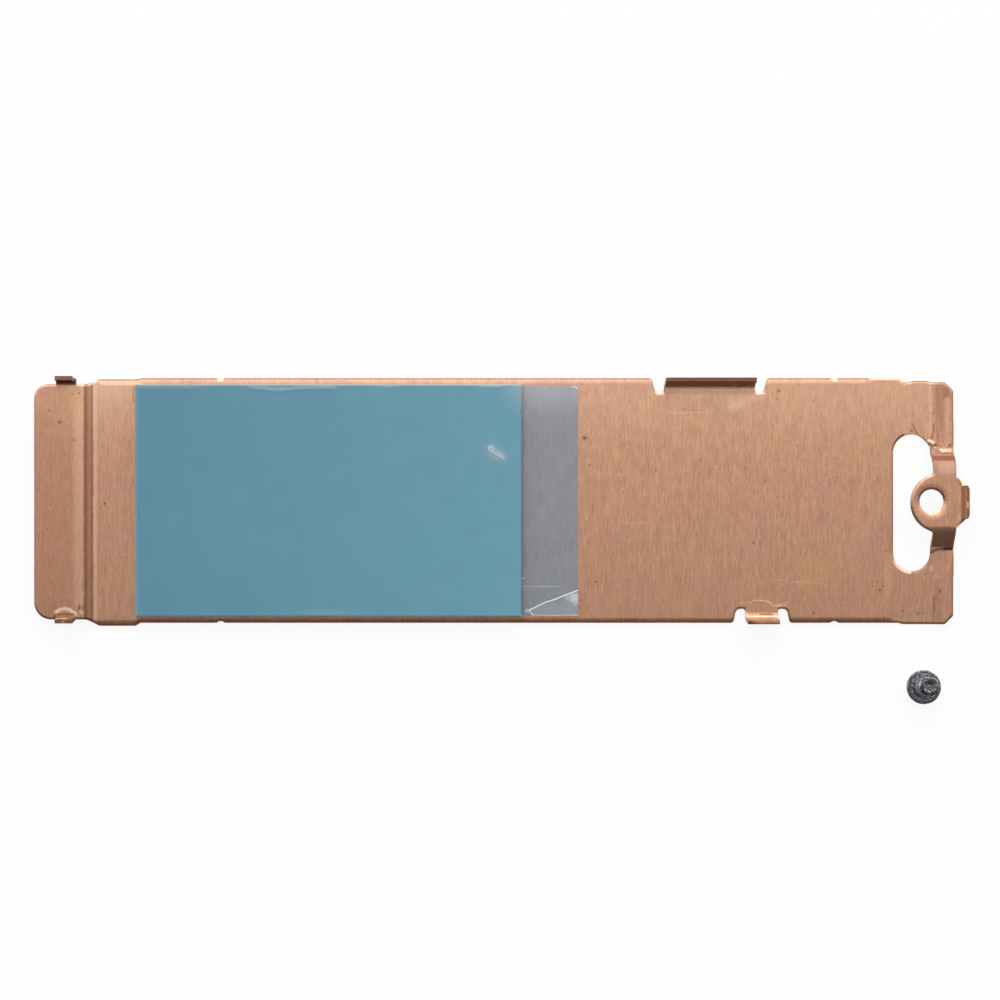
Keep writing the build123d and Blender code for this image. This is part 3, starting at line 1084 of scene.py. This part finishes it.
@dataclass
class Studio:
    """White floor, soft lamps and the camera straight above."""

    floor_reach: float = 3.0
    floor_height: float = -0.00005
    floor_colour: Colour = (0.86, 0.86, 0.86, 1.0)
    floor_roughness: float = 0.9
    floor_shine: float = 0.1
    floor_glow: float = 0.9
    near_level: float = 0.15
    far_level: float = 2.2
    level_rise: Place = (-0.15, 0.25)
    bright_x: float = 0.04
    bright_width: float = 0.3
    side_share: float = 0.7
    camera_height: float = 0.2504
    camera_y: float = 0.00005
    nearest_seen: float = 0.01
    frame_width: float = 0.1
    face_height: float = 0.0004
    lamps: tuple[Softbox, ...] = (Softbox("far_side", (0.05, 0.7, 0.4), (0.9, 0.5), 3.5),)

    def build(self) -> None:
        """Builds the floor, the light and the camera."""
        self._floor()
        self._world()
        for lamp in self.lamps:
            lamp.build()
        self._camera()
        bpy.context.scene.view_settings.view_transform = "Standard"

    def _floor(self) -> None:
        """Lays the white floor, which looks a little paler to the eye than the light makes it."""
        bpy.ops.object.select_all(action="DESELECT")
        bpy.ops.mesh.primitive_plane_add(size=2 * self.floor_reach, location=(0, 0, self.floor_height))
        floor = new_piece("floor")
        paint = bpy.data.materials.new("floor_white")
        paint.use_nodes = True
        graph = Graph(paint.node_tree)
        shader = graph.tree.nodes["Principled BSDF"]
        graph.fill(
            shader,
            {
                "Base Color": self.floor_colour, "Roughness": self.floor_roughness,
                "Specular IOR Level": self.floor_shine,
            },
        )
        seen = graph.node("ShaderNodeLightPath").outputs["Is Camera Ray"]
        glow = graph.node("ShaderNodeEmission", {"Color": WHITE, "Strength": 1.0})
        both = graph.node(
            "ShaderNodeMixShader",
            {0: graph.times(seen, self.floor_glow), 1: shader.outputs[0], 2: glow.outputs[0]},
        )
        graph.fill(graph.tree.nodes["Material Output"], {0: both.outputs[0]})
        assign(floor, paint)

    def _world(self) -> None:
        """Lights the room: dim at the near side, bright at the far side, softer left and right."""
        world = bpy.data.worlds.new("studio")
        world.use_nodes = True
        graph = Graph(world.node_tree)
        direction = graph.node("ShaderNodeTexCoord").outputs["Generated"]
        parts = graph.node("ShaderNodeSeparateXYZ", {0: direction}).outputs
        level = graph.node(
            "ShaderNodeMapRange",
            {
                "Value": parts["Y"],
                "From Min": self.level_rise[0], "From Max": self.level_rise[1],
                "To Min": self.near_level, "To Max": self.far_level,
            },
            interpolation_type="SMOOTHSTEP",
        )
        away = graph.math("DIVIDE", graph.minus(parts["X"], self.bright_x), self.bright_width)
        fall = graph.math("EXPONENT", graph.times(graph.times(away, away), -1.0))
        across = graph.plus(graph.times(fall, 1 - self.side_share), self.side_share)
        strength = graph.times(level.outputs["Result"], across)
        graph.fill(graph.tree.nodes["Background"], {"Color": WHITE, "Strength": strength})
        bpy.context.scene.world = world

    def _camera(self) -> None:
        """Sets the camera straight above, at the photo's distance."""
        view = bpy.data.cameras.new("photo_view")
        view.angle = 2 * math.atan(self.frame_width / 2 / (self.camera_height - self.face_height))
        view.clip_start = self.nearest_seen
        camera = bpy.data.objects.new("photo_view", view)
        bpy.context.scene.collection.objects.link(camera)
        camera.location = (0, self.camera_y, self.camera_height)
        bpy.context.scene.camera = camera


DARK, LIGHT, OCHRE, ROSE = Tint


def pit(x: float, y: float, size: float, strength: float, softness: float) -> Mark:
    """Makes a small dark pit or spot."""
    return Mark((x, y), size, size, DARK, strength, softness)


def form(
    x: float, y: float, length: float, width: float, softness: float,
    relief: float = 0.0, level: float = 0.0,
) -> Mark:
    """Makes a mark that only shapes the metal and leaves its colour."""
    return Mark((x, y), length, width, DARK, 0.0, softness, relief=relief, level=level)


# Marks on the copper: stains, pits and scratches, with painted highlights and painted shade where each
# heading says so.
COPPER_MARKS: tuple[Mark | Line, ...] = (
    # Painted light: the plate paler towards the far edge, where the light falls
    Mark((3.0, 12.5), 86.0, 0.5, LIGHT, 0.16, 9.0),
    Mark((-38.4, 12.5), 2.4, 1.0, LIGHT, 0.18, 3.5),
    Mark((-43.5, 11.5), 4.5, 0.5, LIGHT, 0.14, 7.0),
    # Rolled-over edges: the face falls away towards the cut; painted shade on the far edges' outermost
    # line and along the near edges
    form(-10.5, 12.5, 51.0, 0.0, 0.85, relief=-0.05),
    form(31.4, 12.5, 10.6, 0.0, 0.85, relief=-0.05),
    form(-37.9, 12.25, 3.4, 0.0, 0.8, relief=-0.05),
    Mark((-10.5, 12.18), 52.0, 0.12, DARK, 0.55, 0.08, level=0.85),
    Mark((31.4, 12.18), 11.0, 0.12, DARK, 0.55, 0.08, level=0.85),
    Mark((-38.2, 12.06), 4.4, 0.12, DARK, 0.55, 0.08, level=0.85),
    Mark((-44.7, 11.58), 2.0, 0.08, DARK, 0.6, 0.07, level=0.8),
    Line(
        ((40.3, 11.72), (41.1, 11.9), (42.6, 11.92), (43.4, 11.8), (44.45, 11.76), (45.25, 10.97)),
        0.06, DARK, 0.6, 0.1, level=0.8,
    ),
    Mark((-5.6, -12.6), 60.5, 0.0, ROSE, 0.6, 0.9, relief=-0.1),
    Mark((33.6, -12.5), 10.4, 0.0, ROSE, 0.6, 0.85, relief=-0.09),
    Mark((-38.4, -12.8), 5.4, 0.0, ROSE, 0.6, 0.9, relief=-0.1),
    Mark((-46.7, 0.0), 0.0, 20.5, DARK, 0.2, 0.45, relief=-0.06),
    Mark((45.22, 8.8), 0.05, 6.4, ROSE, 0.7, 0.18),
    Mark((45.22, -8.8), 0.05, 6.4, ROSE, 0.7, 0.18),
    # Cut ends of the folds: sheared and darkened, with painted highlights along the short tab's edge
    # and on the lip's bend and cut edge
    Mark((21.2, 12.05), 10.2, 0.58, DARK, 0.97, 0.05),
    Mark((-43.2, 12.1), 2.3, 0.8, DARK, 0.95, 0.05),
    Mark((26.3, -11.97), 2.7, 0.16, LIGHT, 0.4, 0.08),
    Mark((26.3, -12.18), 3.2, 0.06, DARK, 0.5, 0.08),
    Mark((45.78, -0.17), 0.28, 3.3, LIGHT, 0.3, 0.08),
    Mark((46.1, -0.17), 0.3, 3.3, DARK, 0.6, 0.06),
    Mark((46.08, -0.44), 0.1, 0.5, LIGHT, 0.6, 0.12),
    # Softly drawn metal: strap roots, ring, folds and ears
    form(42.15, 6.9, 3.3, 3.1, 0.3, level=0.97),
    form(42.7, -6.2, 3.0, 3.0, 0.3, level=0.97),
    form(42.82, -0.1, 1.8, 1.8, 1.2, level=0.6),
    form(21.2, 11.1, 9.4, 0.5, 0.1, level=0.9),
    form(26.3, -11.3, 2.9, 0.3, 0.2, level=0.6),
    # Screw ring: the sheet dips towards the hole
    form(42.82, -0.1, 0.0, 0.0, 1.9, relief=-0.15),
    # Straps: normals levelled, then painted shade in a dark red band with a painted highlight below it
    # on the upper strap, and painted shade on the lower strap and down the strip's ramp
    form(44.2, 3.95, 2.4, 2.7, 0.2, level=0.96),
    Mark((44.2, 4.22), 2.2, 0.4, ROSE, 0.9, 0.12),
    Mark((44.2, 4.25), 2.2, 0.3, DARK, 0.14, 0.15),
    Mark((44.3, 3.25), 1.2, 0.7, LIGHT, 0.3, 0.4),
    Mark((44.1, -3.95), 2.4, 1.4, DARK, 0.1, 0.15),
    Mark((43.95, 8.6), 0.7, 6.0, ROSE, 0.36, 0.15),
    Line(((43.0, -5.2), (43.3, -4.98), (43.8, -4.86), (45.1, -4.82)), 0.14, DARK, 0.75, 0.16),
    # Tongue: darker end, painted highlight on the bend before the step, pits, and at the lower ear
    # painted highlights along its bend and edge over painted shade
    Mark((-44.5, 0.0), 1.5, 22.0, ROSE, 0.28, 3.0),
    Mark((-42.0, 0.0), 0.35, 21.0, LIGHT, 0.22, 0.5),
    Mark((-42.2, 10.0), 0.6, 1.6, OCHRE, 0.34, 1.0),
    pit(-43.9, 7.8, 0.1, 0.6, 0.22),
    pit(-44.9, 8.95, 0.05, 0.55, 0.14),
    pit(-42.6, 10.6, 0.05, 0.5, 0.14),
    pit(-41.95, 10.7, 0.05, 0.55, 0.14),
    Mark((-42.45, 6.05), 0.05, 0.1, DARK, 0.55, 0.14),
    Mark((-41.9, -10.6), 0.35, 0.1, DARK, 0.6, 0.15, 70.0),
    Mark((-41.55, -10.65), 0.2, 0.1, DARK, 0.55, 0.12, 60.0),
    Line(
        ((-44.35, -11.3), (-44.1, -11.0), (-43.7, -10.82), (-43.3, -10.78), (-42.9, -10.88),
         (-42.5, -11.1), (-42.25, -11.4)),
        0.16, LIGHT, 1.0, 0.18,
    ),
    Mark((-41.7, -11.15), 0.3, 0.1, LIGHT, 0.7, 0.15, -20.0),
    Mark((-43.4, -11.68), 2.1, 0.9, DARK, 0.6, 0.12, level=0.9),
    Mark((-43.6, -11.72), 1.2, 0.02, LIGHT, 0.4, 0.08),
    Mark((-43.3, -12.05), 0.15, 0.05, LIGHT, 0.6, 0.12),
    # Step up to the tongue: painted shade in two dark creases, with a painted highlight on the ridge
    # between
    Mark((-41.15, 0.0), 0.5, 24.0, ROSE, 0.55, 0.2),
    Mark((-41.34, 0.0), 0.06, 24.0, DARK, 0.4, 0.14),
    Mark((-41.0, 0.0), 0.04, 24.0, LIGHT, 0.16, 0.1),
    # Plate beside the pad
    Line(((-36.65, 11.4), (-36.65, 9.9)), 0.08, DARK, 0.4, 0.08),
    # Foot of the step: painted highlight beside painted shade in its crease
    Mark((-40.45, 0.0), 0.05, 24.0, LIGHT, 0.4, 0.22),
    Mark((-40.78, 0.0), 0.02, 24.0, DARK, 0.5, 0.08),
    # Open copper: stain, spots, long scratch and short ones
    pit(8.46, 6.27, 0.0, 0.3, 0.6),
    Mark((8.46, 6.27), 0.1, 0.0, DARK, 0.8, 0.22),
    pit(8.95, 3.55, 0.0, 0.6, 0.2),
    pit(12.3, 0.85, 0.0, 0.6, 0.16),
    Line(
        ((20.2, 4.35), (19.5, 3.05), (19.0, 0.05), (18.75, -3.25), (18.6, -8.25)),
        0.06, DARK, 0.16, 0.06,
    ),
    Line(((16.8, 8.8), (20.8, 8.8)), 0.08, LIGHT, 0.22, 0.08),
    Line(((12.2, -2.2), (14.6, -2.2)), 0.06, LIGHT, 0.22, 0.06),
    Mark((24.6, 9.9), 3.2, 0.3, LIGHT, 0.15, 0.5, 28.0),
    Mark((23.5, 10.0), 0.9, 1.0, LIGHT, 0.2, 0.6),
    Mark((31.2, -7.3), 1.8, 1.4, OCHRE, 0.36, 1.2, 8.0),
    Line(((27.2, -7.9), (32.4, -8.3)), 0.05, LIGHT, 0.22, 0.05),
    Line(((27.9, -8.4), (32.4, -7.75)), 0.05, LIGHT, 0.18, 0.05),
    # Round the two side tabs
    # Painted highlight along the long tab's bend, with paler spots on it
    Line(((16.5, 11.1), (26.1, 11.1)), 0.1, LIGHT, 0.55, 0.15),
    Mark((18.3, 11.1), 0.2, 0.05, LIGHT, 0.7, 0.12),
    Mark((20.7, 11.12), 0.15, 0.05, LIGHT, 0.6, 0.12),
    Mark((24.2, 11.1), 0.15, 0.05, LIGHT, 0.6, 0.12),
    Line(((16.6, 10.72), (25.4, 10.72)), 0.03, DARK, 0.14, 0.1),
    # Painted highlights on the rims at the notch ends
    Mark((16.1, 10.62), 0.6, 0.0, LIGHT, 0.6, 0.25),
    Mark((26.15, 10.7), 0.7, 0.0, LIGHT, 0.6, 0.22),
    pit(27.88, 10.96, 0.08, 0.6, 0.16),
    pit(27.67, 10.15, 0.05, 0.5, 0.14),
    Mark((26.3, -11.7), 3.0, 0.4, OCHRE, 0.16, 0.1),
    Line(((26.1, -11.38), (27.3, -11.42)), 0.05, DARK, 0.6, 0.1),
    Line(((24.1, -10.2), (25.2, -10.2)), 0.05, LIGHT, 0.3, 0.1),
    Line(((25.3, -10.02), (25.7, -9.99), (26.0, -10.0)), 0.04, LIGHT, 0.45, 0.1),
    Line(((26.0, -10.0), (26.35, -10.0), (26.65, -10.07), (26.9, -10.17)), 0.06, LIGHT, 0.75, 0.09),
    Line(
        ((26.9, -10.17), (27.15, -10.4), (27.4, -10.52), (27.75, -10.55)),
        0.04, LIGHT, 0.55, 0.09,
    ),
    Mark((27.92, -10.5), 0.2, 0.08, LIGHT, 0.75, 0.15, 20.0),
    Mark((28.35, -10.5), 0.3, 0.35, LIGHT, 0.3, 0.25),
    pit(31.34, -11.27, 0.08, 0.55, 0.2),
    # Slot: scribed line and the paler stretch below it
    Line(((38.5, -5.02), (39.2, -5.02)), 0.04, DARK, 0.5, 0.04),
    Mark((38.85, -7.4), 0.4, 4.2, OCHRE, 0.38, 0.3),
    # Painted highlight on the rim below the slot's end
    Line(
        ((39.4, -6.1), (39.79, -6.65), (40.5, -7.1), (41.17, -7.22), (41.83, -7.1),
         (42.54, -6.65)),
        0.1, LIGHT, 0.4, 0.2,
    ),
    pit(38.0, -8.95, 0.08, 0.5, 0.18),
    pit(40.3, -11.05, 0.05, 0.5, 0.15),
    pit(41.8, -11.3, 0.1, 0.5, 0.18),
    pit(42.3, -11.3, 0.08, 0.45, 0.16),
    pit(43.95, -9.1, 0.05, 0.5, 0.16),
    Mark((41.2, 7.0), 0.08, 0.12, DARK, 0.5, 0.16),
    # End strip: painted highlight on the ridge of its bend, a speckled dark corner, painted shade in
    # the crease beside the slot, and crumpled metal at the strap roots with painted highlights on its
    # folds and painted shade in its hollows
    Mark((43.05, 9.0), 0.25, 4.8, LIGHT, 0.16, 0.15),
    Mark((44.65, 8.0), 0.1, 4.8, LIGHT, 0.12, 0.2),
    Mark((44.65, 9.2), 0.0, 2.5, LIGHT, 0.2, 0.1),
    Mark((44.55, 10.8), 0.4, 0.8, DARK, 0.4, 0.35),
    Mark((44.5, 10.0), 1.6, 3.0, ROSE, 0.16, 0.8),
    Line(((43.35, 7.6), (43.3, 6.9), (43.05, 6.1)), 0.03, DARK, 0.55, 0.14),
    Mark((43.1, 5.75), 0.4, 0.08, LIGHT, 0.75, 0.28, -35.0, relief=0.05),
    Mark((43.35, 5.35), 0.3, 0.08, LIGHT, 0.7, 0.14, -30.0),
    Mark((43.95, 5.15), 0.35, 0.1, LIGHT, 0.5, 0.18, -25.0),
    Mark((44.55, 4.9), 0.9, 0.1, LIGHT, 0.85, 0.25, 4.0, relief=0.02),
    Mark((44.2, 5.12), 0.5, 0.1, LIGHT, 0.5, 0.25, 24.0),
    Mark((43.7, 4.8), 0.4, 0.1, ROSE, 0.6, 0.25),
    Mark((43.5, 5.62), 0.3, 0.06, DARK, 0.6, 0.12, -50.0),
    Mark((43.95, 5.42), 0.25, 0.05, DARK, 0.5, 0.12, -40.0),
    Mark((44.9, 5.5), 0.12, 0.2, DARK, 0.55, 0.18),
    Mark((43.1, -6.8), 0.1, 0.3, LIGHT, 0.4, 0.3),
    Mark((44.9, -5.5), 0.25, 0.7, OCHRE, 0.4, 0.3),
    # Below the slot: painted shade in the ramp's crease and a painted highlight along its bend
    Line(((43.4, -9.6), (43.4, -11.2)), 0.06, DARK, 0.45, 0.1),
    Line(((43.35, -7.6), (43.35, -9.6)), 0.05, LIGHT, 0.2, 0.15),
    # Lip: painted highlight along the bend, with pale scuff dots on it
    Mark((45.45, -0.3), 0.1, 3.4, LIGHT, 0.3, 0.2),
    Mark((45.5, -1.6), 0.05, 0.5, LIGHT, 0.5, 0.1),
    Mark((45.5, 0.2), 0.05, 0.3, LIGHT, 0.4, 0.1),
)

# Wrinkles and a blister; the last number of each is its whitening, partly milky haze and partly
# painted highlight.
FILM_RIDGES: tuple[Ridge, ...] = (
    Ridge(((-36.1, 11.2), (-33.4, 11.3), (-29.9, 11.25)), 0.04, 0.3, 0.07),
    Ridge(((-25.0, 11.3), (-21.9, 10.98), (-20.0, 11.2), (-16.4, 11.27)), 0.05, 0.16, 0.16),
    Ridge(((-12.1, 11.3), (-10.3, 11.3)), 0.03, 0.16, 0.09),
    Ridge(((-1.9, 11.36), (0.1, 11.36)), 0.03, 0.12, 0.2),
    Ridge(((-1.0, 5.1), (-0.6, 4.75), (0.1, 4.3)), 0.08, 0.3, 0.05),
    Ridge(((-1.5, 5.0), (0.2, 4.1)), 0.03, 0.95, 0.03),
    Ridge(((-19.9, -11.2), (-15.5, -11.2)), 0.03, 0.2, 0.08),
)

# Painted highlights on the film's creases, edges, corners and blister, with a faint milky haze on the
# tab.
FILM_MARKS: tuple[Mark | Line, ...] = (
    Line(
        ((2.95, -10.95), (3.8, -10.55), (4.5, -10.2), (5.6, -9.84), (6.5, -9.47), (7.75, -8.98)),
        0.02, LIGHT, 0.7, 0.08,
    ),
    Line(((2.95, -10.98), (3.2, -11.35), (3.45, -11.55)), 0.02, LIGHT, 0.5, 0.08),
    Line(((3.4, -11.47), (7.8, -11.47)), 0.02, LIGHT, 0.3, 0.08),
    Mark((2.75, -11.0), 0.3, 0.1, LIGHT, 0.25, 0.25),
    Mark((7.1, -9.7), 0.7, 0.1, LIGHT, 0.16, 0.5, 20.0),
    Mark((7.45, -9.7), 0.4, 0.4, LIGHT, 0.28, 0.55),
    Mark((7.55, -10.1), 0.2, 0.2, LIGHT, 0.2, 0.5),
    Mark((5.5, -10.8), 3.5, 0.6, LIGHT, 0.04, 0.5),
    Line(
        ((-0.64, 5.16), (-0.72, 5.34), (-0.89, 5.41), (-1.07, 5.34), (-1.14, 5.16), (-1.07, 4.98),
         (-0.89, 4.91), (-0.64, 5.16)),
        0.02, LIGHT, 0.24, 0.2,
    ),
    Line(((-0.95, 4.95), (-0.35, 4.6), (0.3, 4.22)), 0.02, LIGHT, 0.24, 0.4),
    Mark((-0.4, 4.5), 1.0, 0.3, LIGHT, 0.16, 0.75, -32.0),
    Mark((-0.9, 4.6), 0.5, 0.4, LIGHT, 0.05, 1.3),
    Line(((2.15, -8.6), (3.9, -8.62), (6.0, -8.6)), 0.02, LIGHT, 0.22, 0.06),
    Line(((4.5, 8.93), (5.5, 8.97)), 0.02, LIGHT, 0.1, 0.07),
    Mark((2.65, 8.8), 0.15, 0.0, LIGHT, 0.3, 0.08),
    Mark((2.3, -7.8), 0.1, 0.0, LIGHT, 0.4, 0.14),
    Line(((7.2, 11.42), (7.6, 11.3), (7.8, 11.15)), 0.03, LIGHT, 0.6, 0.09),
    Mark((4.55, 11.35), 0.0, 0.2, LIGHT, 0.4, 0.07),
    Mark((5.2, 11.6), 5.0, 0.2, LIGHT, 0.16, 4.0),
    Mark((-36.2, 0.0), 0.05, 23.0, LIGHT, 0.05, 0.25),
)


def main() -> None:
    """Builds and dresses every piece, and then the studio."""
    logging.basicConfig(level=logging.INFO, format="%(name)s: %(message)s")
    effects = Effects()

    SolidPiece("heat_plate").dress(CopperFinish(marks=COPPER_MARKS).build(effects))
    log.info("heat plate dressed")
    SolidPiece("thermal_pad").dress(PadFinish().build(effects))
    log.info("thermal pad dressed")

    film = ReleaseFilm(ridges=FILM_RIDGES)
    film_piece = film.build()
    film.dress(film_piece, FilmFinish(marks=FILM_MARKS).build(effects))
    log.info("release film: %d faces", len(film_piece.data.polygons))

    screw = MountingScrew()
    screw_piece = screw.build()
    screw.dress(screw_piece, ScrewFinish().build(effects))
    log.info("mounting screw: %d faces", len(screw_piece.data.polygons))

    Studio().build()


if __name__ == "__main__":
    main()
